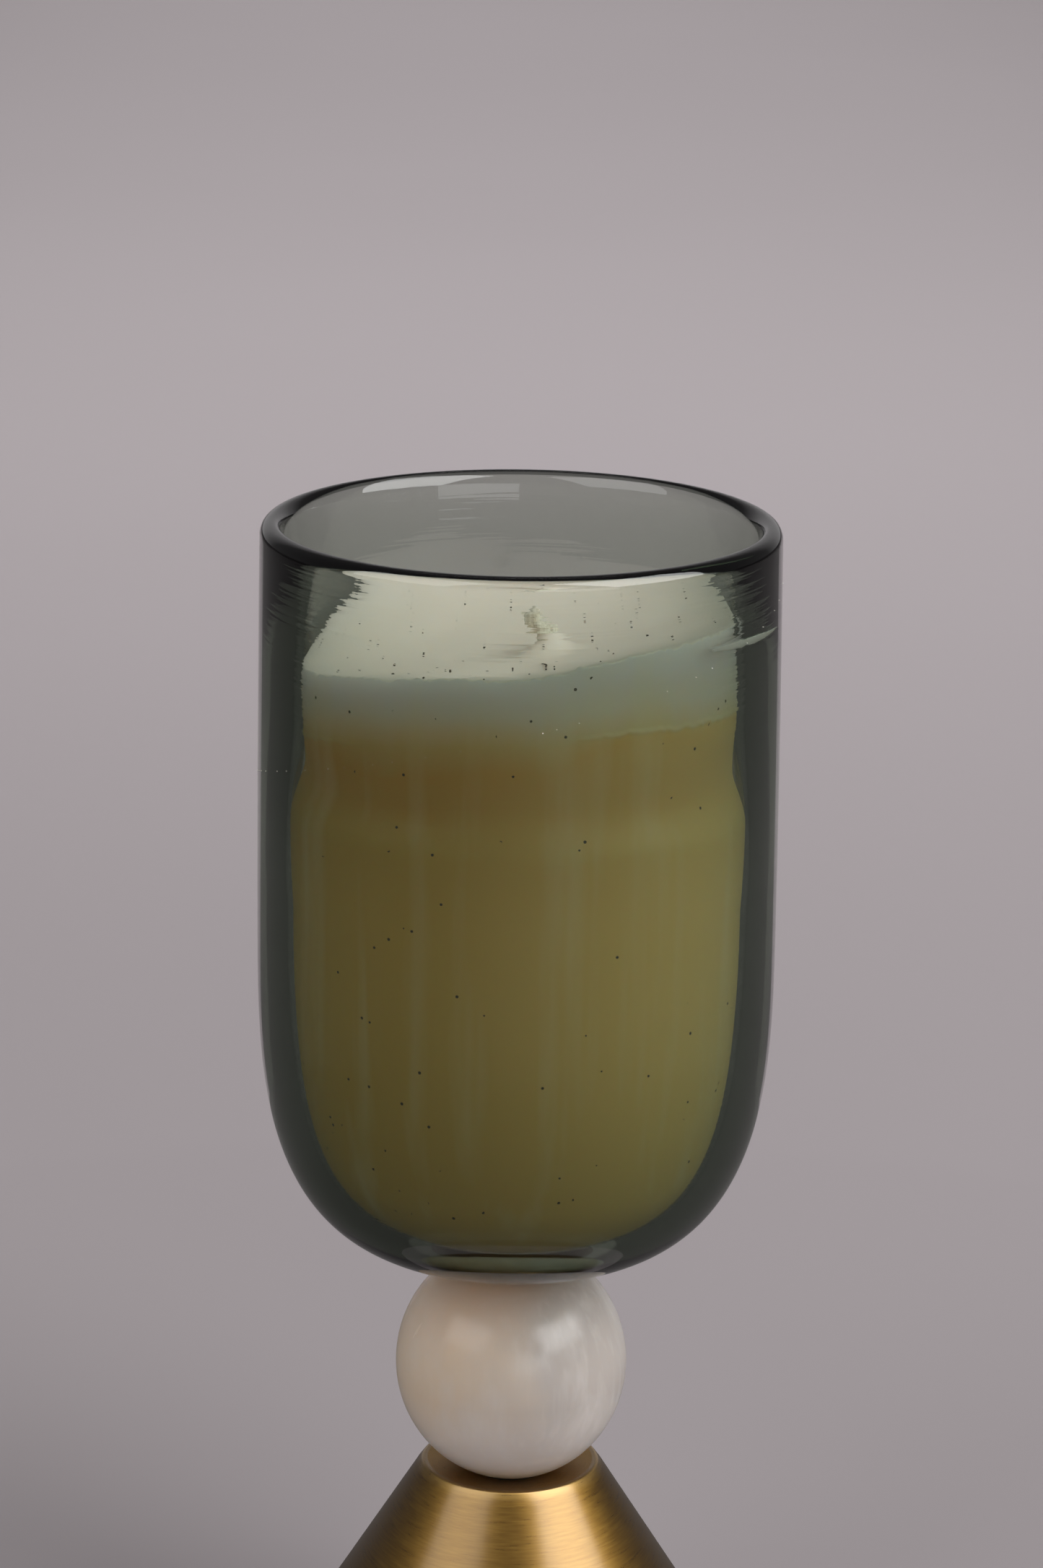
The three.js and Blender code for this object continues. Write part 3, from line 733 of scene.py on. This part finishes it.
def wax_piece():
    """The candle: turned wall, wandering waist, torn edge and a tilted top."""
    segments = 512
    angles = [2 * math.pi * s / segments for s in range(segments)]
    rings = wax_rings(angles)
    verts, faces, drops = [(0, 0, BORE_FLOOR_Z - WAX_WETTING)], [], [1.0]
    for ring in rings:
        for angle, (r, z, drop) in zip(angles, ring):
            verts.append((r * math.cos(angle), r * math.sin(angle), z))
            drops.append(min(1.0, drop))
    verts.append((0, 0, wax_level(0, 0)))
    drops.append(0.0)
    for s in range(segments):
        t = (s + 1) % segments
        faces.append((0, 1 + t, 1 + s))
        for row in range(len(rings) - 1):
            low, high = 1 + row * segments, 1 + (row + 1) * segments
            faces.append((low + s, low + t, high + t, high + s))
        last = 1 + (len(rings) - 1) * segments
        faces.append((last + s, last + t, len(verts) - 1))
    return mark_drop(mesh_object("poured_candle", verts, faces, 75), drops)


def wax_film(name, start, end, depth, slope, thickness):
    """A scrap of wax left stuck to the inner wall, from one azimuth to another (0 front, 90 right)."""
    steps = 48
    verts, faces = [], []
    for i in range(steps + 1):
        share = i / steps
        azimuth = math.radians(start + (end - start) * share)
        half = thickness / 2 * max(0.04, math.sin(math.pi * (0.12 + 0.88 * share)))
        half *= 1 + 0.35 * noise.noise(Vector((share * 14, 3, 0)))
        z = RIM_Z - depth - slope * share + 0.1 * MM * noise.noise(Vector((share * 9, 0, 0)))
        wall = bore_radius(RIM_Z - z)
        for r, dz in ((wall + 0.35 * MM, -half), (wall + 0.35 * MM, half),
                      (wall - 0.5 * MM, half), (wall - 0.5 * MM, -half)):
            verts.append((r * math.sin(azimuth), -r * math.cos(azimuth), z + dz))
    for i in range(steps):
        for corner in range(4):
            a, b = 4 * i + corner, 4 * i + (corner + 1) % 4
            faces.append((a, b, b + 4, a + 4))
    faces.append((3, 2, 1, 0))
    faces.append(tuple(4 * steps + corner for corner in range(4)))
    return mark_drop(mesh_object(name, verts, faces, 50), [0.1] * len(verts))


def tube(points, radius, sides=10, taper=0.0):
    """Vertices and faces of a closed tube along a path, thinning by taper towards its end."""
    verts, faces = [], []
    count = len(points)
    side = Vector((1, 0, 0))
    for i, point in enumerate(points):
        ahead = points[min(count - 1, i + 1)] - points[max(0, i - 1)]
        ahead.normalize()
        side = (side - ahead * side.dot(ahead)).normalized()
        other = ahead.cross(side)
        r = radius * (1 - taper * i / (count - 1))
        for k in range(sides):
            angle = 2 * math.pi * k / sides
            verts.append(point + side * (r * math.cos(angle)) + other * (r * math.sin(angle)))
    for i in range(count - 1):
        for k in range(sides):
            low, high = i * sides, (i + 1) * sides
            m = (k + 1) % sides
            faces.append((low + k, low + m, high + m, high + k))
    faces.append(tuple(reversed(range(sides))))
    faces.append(tuple((count - 1) * sides + k for k in range(sides)))
    return verts, faces


def wick_piece():
    """Three twisted strands that leave the wax off centre and lean to the left, with loose fibres."""
    exit_z = wax_level(WICK_EXIT_X, WICK_EXIT_Y)
    bottom = WICK_LOW.z

    def centre(z):
        up = (z - exit_z) / WICK_EXPOSED
        if up < 0:
            near = max(0.0, 1 + (z - exit_z) / (25 * MM))
            return Vector((WICK_EXIT_X * near ** 2, WICK_EXIT_Y * near ** 2, z))
        lean = -WICK_LEAN * math.sin(min(1.0, up / 0.62) * math.pi / 2)
        back = 0.5 * MM * max(0.0, up - 0.62) / 0.38
        return Vector((WICK_EXIT_X + lean + back, WICK_EXIT_Y + 0.4 * MM * up, z))

    verts, faces = [], []

    def gather(part):
        start = len(verts)
        verts.extend(part[0])
        faces.extend(tuple(start + i for i in face) for face in part[1])

    steps = 260
    top = exit_z + WICK_EXPOSED
    for strand in range(3):
        points = []
        for i in range(steps + 1):
            z = bottom + (top - bottom - strand * 0.5 * MM) * i / steps
            turn = 2 * math.pi * (z / WICK_PITCH + strand / 3)
            waxed = math.exp(-max(0.0, z - exit_z - 0.5 * MM) / (1.6 * MM))
            swell = (0.62 + 0.30 * waxed) * MM
            swell *= 1 + 0.25 * noise.noise(Vector((strand * 5, 0, z / (1.5 * MM))))
            points.append(centre(z) + compass(turn) * swell)
        gather(tube(points, STRAND_RADIUS, 12, 0.16))
    for fibre in range(26):
        seed = Vector((fibre * 3.7, 1.3, 0))
        z = exit_z + WICK_EXPOSED * (0.15 + 0.85 * (0.5 + 0.5 * noise.noise(seed * 1.7)))
        turn = fibre * 2.4
        out = compass(turn)
        length = (0.8 + 0.9 * abs(noise.noise(seed * 3.1))) * MM
        points = []
        for i in range(9):
            share = i / 8
            curl = Vector((noise.noise(seed + Vector((share * 2, 0, 0))),
                           noise.noise(seed + Vector((0, share * 2, 4))), 0.9 - 0.5 * share))
            reach = out * (1.0 * MM + length * share * 0.7)
            points.append(centre(z) + reach + curl * length * share * 0.8)
        gather(tube(points, FIBRE_RADIUS, 5, 0.5))
    return mesh_object("cotton_wick", verts, faces, 60)


def flecks(name, places, size):
    """Little faceted specks, each squashed and turned its own way."""
    bm = bmesh.new()
    for i, place_at in enumerate(places):
        scale = size * (0.6 + 0.8 * abs(noise.noise(Vector((i * 1.7, 2, 5)))))
        squash = Matrix.Diagonal((scale * 1.3, scale * 0.9, scale * 0.9, 1))
        turn = Matrix.Rotation(i * 2.4, 4, "Z") @ Matrix.Rotation(i * 1.3, 4, "X")
        bmesh.ops.create_icosphere(
            bm, subdivisions=1, radius=1.0, matrix=Matrix.Translation(place_at) @ turn @ squash
        )
    mesh = bpy.data.meshes.new(name)
    bm.to_mesh(mesh)
    bm.free()
    return finish_mesh(new_object(name, mesh), 30)


def crumbs_piece():
    """Crumbs of char on the candle."""
    places, count = [], 44
    for i in range(count):
        away = WAX_NECK_RADIUS * 0.96 * math.sqrt((i + 0.5) / count)
        angle = i * GOLDEN_ANGLE + 0.4
        x, y = away * math.cos(angle), away * math.sin(angle)
        places.append(Vector((x, y, wax_level(x, y) + 0.06 * MM)))
    return flecks("char_crumbs", places, 0.25 * MM)


def trimming_piece():
    """One short fibre off the wick, lying on the candle."""
    points = []
    for i in range(9):
        share = i / 8
        point = TRIMMING_START + Vector((0.5 * MM * share, -TRIMMING_LENGTH * share, 0))
        point.x += 0.3 * MM * math.sin(3 * share)
        point.z = wax_level(point.x, point.y) + 0.25 * MM
        points.append(point)
    verts, faces = tube(points, TRIMMING_RADIUS, 6, 0.4)
    return mesh_object("wick_trimming", verts, faces, 60)


def lint_piece():
    """Dust caught on the outside of the cup."""
    places = []
    for i in range(60):
        angle = i * GOLDEN_ANGLE
        depth = BELLY_DEPTH * (0.12 + (i * 0.618034) % 1.0)
        radius = outer_radius(depth) + 0.02 * MM
        places.append(Vector((radius * math.cos(angle), radius * math.sin(angle), RIM_Z - depth)))
    return flecks("lint", places, 0.11 * MM)


def ball_piece():
    def height(radius):
        return BALL_HALF_HEIGHT * math.sqrt(1 - (radius / BALL_RADIUS) ** 2)

    centre = BALL_HIGH.z - height(BALL_FLAT_RADIUS)
    start = math.asin(-height(BALL_BORE_RADIUS) / BALL_HALF_HEIGHT)
    end = math.asin(height(BALL_FLAT_RADIUS) / BALL_HALF_HEIGHT)
    steps = 110
    skin = []
    for i in range(steps + 1):
        angle = start + (end - start) * i / steps
        skin.append((BALL_RADIUS * math.cos(angle), centre + BALL_HALF_HEIGHT * math.sin(angle)))
    floor_z = PLATE_LOW.z - BOSS_CLEARANCE
    profile = [*skin, (BALL_COUNTERBORE_RADIUS, BALL_HIGH.z), (BALL_COUNTERBORE_RADIUS, floor_z),
               (BALL_BORE_RADIUS, floor_z)]
    return turned("polished_stone_ball", profile, closed=True)


def cone_piece():
    def cone_radius(z):
        return CONE_TOP_RADIUS + (CROWN_Z - z) * CONE_SLOPE

    under = CROWN_Z - CROWN_THICKNESS
    edge = CONE_EDGE
    seat_z = CROWN_Z - SEAT_SLOPE * (CONE_TOP_RADIUS - edge - POCKET_RADIUS)
    profile = [
        (CROWN_BORE_RADIUS, under),
        (cone_radius(under) - CONE_WALL, under),
        (CONE_FOOT_RADIUS - CONE_WALL, CONE_LOW.z),
        (CONE_FOOT_RADIUS - edge, CONE_LOW.z),
        *straight((cone_radius(CONE_LOW.z + edge), CONE_LOW.z + edge),
                  (cone_radius(CROWN_Z - edge), CROWN_Z - edge), 60),
        *ellipse(CONE_TOP_RADIUS - edge * 0.7, CROWN_Z - edge, edge, edge, 32, 90, 8),
        (POCKET_RADIUS, seat_z),
        (POCKET_RADIUS, CROWN_Z - POCKET_DEPTH),
        (CROWN_BORE_RADIUS, CROWN_Z - POCKET_DEPTH),
    ]
    return turned("brushed_brass_cone", profile, segments=384, closed=True)


def plate_piece():
    top, under = PLATE_HIGH.z, PLATE_HIGH.z - PLATE_THICKNESS
    small = PLATE_ROUNDING
    flat = PLATE_HIGH.x - small
    profile = [
        (0, PLATE_LOW.z + BOSS_BORE_DEPTH),
        (BOSS_BORE_RADIUS, PLATE_LOW.z + BOSS_BORE_DEPTH),
        (BOSS_BORE_RADIUS, PLATE_LOW.z),
        (BOSS_RADIUS, PLATE_LOW.z),
        (BOSS_RADIUS, under),
        (flat, under),
        *ellipse(flat, under + small, small, small, -90, 0, 5),
        *ellipse(flat, top - small, small, small, 0, 90, 5),
        (0, top),
    ]
    return turned("brass_cup_plate", profile)


# ------------------------------------------------------------------ assembly

glass = smoked_glass()
place(cup_piece(), glass, "smoked_glass", "glass_cup")
wax = candle_wax()
place(wax_piece(), wax, "cream_wax", "wax_fill")
film = wax_film("wax_film_right", start=50, end=83, depth=15.0 * MM, slope=0.9 * MM, thickness=1.1 * MM)
place(film, wax, "cream_wax")
place(wick_piece(), wick_cotton(), "cotton", "wick")
char = simple("char", (0.03, 0.022, 0.015), (0.10, 0.075, 0.05), 0.8)
place(crumbs_piece(), char, "cotton")
place(trimming_piece(), char, "cotton")
place(lint_piece(), simple("lint_cotton", (0.62, 0.58, 0.50), (0.80, 0.76, 0.68), 0.8), "cotton")
place(ball_piece(), white_stone(), "white_stone", "stone_ball")
place(cone_piece(), brushed_brass(), "brushed_brass", "base_cone")
place(plate_piece(), polished_brass(), "polished_brass", "cup_plate")

BLACK_RUBBER = (0.03, 0.028, 0.025), (0.06, 0.055, 0.05)
ZINC = (0.5, 0.51, 0.53), (0.68, 0.69, 0.72)

cad_looks = {
    "wick_sustainer": simple("tinplate", (0.6, 0.6, 0.6), (0.8, 0.8, 0.8), 0.2, 1.0),
    "sustainer_sticker": simple("sticker_foam", (0.78, 0.77, 0.74), (0.9, 0.89, 0.86), 0.8),
    "bond_disc": simple("clear_adhesive", (0.55, 0.45, 0.30), (0.65, 0.55, 0.38), 0.2),
    "pad_washer": simple("silicone", *BLACK_RUBBER, 0.55),
    "seat_ring": simple("silicone_ring", *BLACK_RUBBER, 0.55),
    "centring_sleeve": simple("nylon", (0.8, 0.79, 0.74), (0.88, 0.87, 0.82), 0.4),
    "tie_rod": simple("zinc_rod", *ZINC, 0.3, 1.0),
    "flat_washer": simple("zinc_washer", *ZINC, 0.3, 1.0),
    "lock_washer": simple("zinc_lock", *ZINC, 0.3, 1.0),
    "hex_nut": simple("zinc_nut", *ZINC, 0.3, 1.0),
    "base_weight": simple("ballast_iron", (0.03, 0.03, 0.032), (0.09, 0.09, 0.095), 0.6, 0.3),
    "felt_pad": simple("felt", (0.02, 0.018, 0.016), (0.07, 0.065, 0.06), 0.9, 0.0, 2500, 2e-4),
}
for node_name, material in cad_looks.items():
    cad_object = frame["nodes"][node_name]
    cad_object.data.materials.clear()
    cad_object.data.materials.append(material)

# ------------------------------------------------------------------ studio


def floor():
    size = 8.0
    mesh = bpy.data.meshes.new("studio_floor")
    corners = [(-size, -size, 0), (size, -size, 0), (size, size, 0), (-size, size, 0)]
    mesh.from_pydata(corners, [], [(0, 1, 2, 3)])
    obj = new_object("studio_floor", mesh)
    s = Surface("pale_floor")
    drift = s.noise(s.position(), 2.5, 3.0)
    colour = s.mix(drift, (0.305, 0.275, 0.284), (0.318, 0.287, 0.297))
    # Painted shade: the floor is darker towards the front.
    near = s.fade(s.axis("Y"), 0.3, -0.4)
    colour = s.over(near, 0.5, colour, (0.262, 0.237, 0.245))
    s.principled(Base_Color=colour, Roughness=0.9, Specular_IOR_Level=0.2)
    obj.data.materials.append(s.material)


def area_lamp(name, width, height, power):
    data = bpy.data.lights.new(name, "AREA")
    data.shape = "RECTANGLE"
    data.size, data.size_y = width, height
    data.energy = power
    lamp = bpy.data.objects.new(name, data)
    bpy.context.scene.collection.objects.link(lamp)
    return lamp


def softbox(name, azimuth, elevation, distance, width, height, power):
    """An area lamp on a sphere round the piece. Azimuth 0 is the front, 90 the right."""
    lamp = area_lamp(name, width, height, power)
    az, el = math.radians(azimuth), math.radians(elevation)
    target = Vector((0, 0, 0.12))
    offset = Vector((math.sin(az) * math.cos(el), -math.cos(az) * math.cos(el), math.sin(el)))
    lamp.location = target + offset * distance
    lamp.rotation_euler = (-offset).to_track_quat("-Z", "Y").to_euler()


def background_light():
    """A gridded strip over the floor behind the piece."""
    lamp = area_lamp("background_strip", 1.6, 2.9, 13.5)
    lamp.data.spread = math.radians(70)
    lamp.location = (0, 2.1, 1.4)


def dark_cards():
    """Dark cards on the floor that the camera and diffuse light don't see: they draw the cup's dark
    edges. Gloss sees all of them. Glass sees the four corner ones, which lie between the sides of
    the piece, and the small ring round the foot, but not the wide one, which leaves the back open."""
    s = Surface("dark_card")
    mottle = s.noise(s.position(), 4.0)
    s.principled(Base_Color=s.mix(mottle, (0.10, 0.092, 0.092), (0.12, 0.111, 0.112)), Roughness=0.9)
    # name, middle and half angle in degrees, outer radius, and whether only gloss sees it
    spans = [(f"flag_{corner}", 45 + 90 * corner, 19, 2.5, False) for corner in range(4)]
    spans.append(("flag_gloss", 270, 154, 2.5, True))
    spans.append(("flag_foot", 90, 180, 0.30, False))
    for level, (name, middle, half, reach, gloss_only) in enumerate(spans):
        verts, faces = [], []
        steps = max(16, half // 2)
        for i in range(steps + 1):
            angle = math.radians(middle - half + 2 * half * i / steps)
            for radius in (CARD_HOLE, reach):
                verts.append((radius * math.cos(angle), radius * math.sin(angle), CARD_STEP * (level + 1)))
        for i in range(steps):
            faces.append((2 * i, 2 * i + 1, 2 * i + 3, 2 * i + 2))
        mesh = bpy.data.meshes.new(name)
        mesh.from_pydata(verts, [], faces)
        card = new_object(name, mesh)
        mesh.materials.append(s.material)
        card.visible_camera = card.visible_diffuse = card.visible_shadow = False
        card.visible_transmission = not gloss_only


def world():
    sky = bpy.data.worlds.new("studio")
    bpy.context.scene.world = sky
    sky.use_nodes = True
    tree = sky.node_tree
    background = tree.nodes["Background"]
    background.inputs["Color"].default_value = (1.0, 0.97, 0.98, 1)
    # A pale backdrop rises behind the piece, and the rest of the room is dim.
    split = tree.nodes.new("ShaderNodeSeparateXYZ")
    ramp = tree.nodes.new("ShaderNodeMapRange")
    tree.links.new(tree.nodes.new("ShaderNodeTexCoord").outputs["Generated"], split.inputs[0])
    tree.links.new(split.outputs["Y"], ramp.inputs["Value"])
    for name, value in {"From Min": 0.72, "From Max": 0.92, "To Min": 0.12, "To Max": 0.45}.items():
        ramp.inputs[name].default_value = value
    tree.links.new(ramp.outputs[0], background.inputs["Strength"])


def camera():
    data = bpy.data.cameras.new("camera")
    data.sensor_width = 36.0
    data.lens = CAMERA_LENS
    data.clip_start = 0.01
    cam = bpy.data.objects.new("camera", data)
    bpy.context.scene.collection.objects.link(cam)
    cam.location = CAMERA_AT
    pitch = Matrix.Rotation(math.radians(90 - CAMERA_DOWN), 4, "X")
    roll = Matrix.Rotation(math.radians(CAMERA_ROLL), 4, "Z")
    cam.matrix_world = Matrix.Translation(cam.location) @ pitch @ roll
    bpy.context.scene.camera = cam


floor()
dark_cards()
world()
camera()
softbox("key_softbox", azimuth=64, elevation=43, distance=1.6, width=1.4, height=1.4, power=34)
softbox("fill_softbox", azimuth=-55, elevation=40, distance=1.8, width=1.5, height=1.5, power=15.5)
softbox("front_softbox", azimuth=22, elevation=10, distance=1.9, width=1.4, height=0.6, power=4.5)
background_light()
bpy.context.scene.view_settings.view_transform = "Standard"
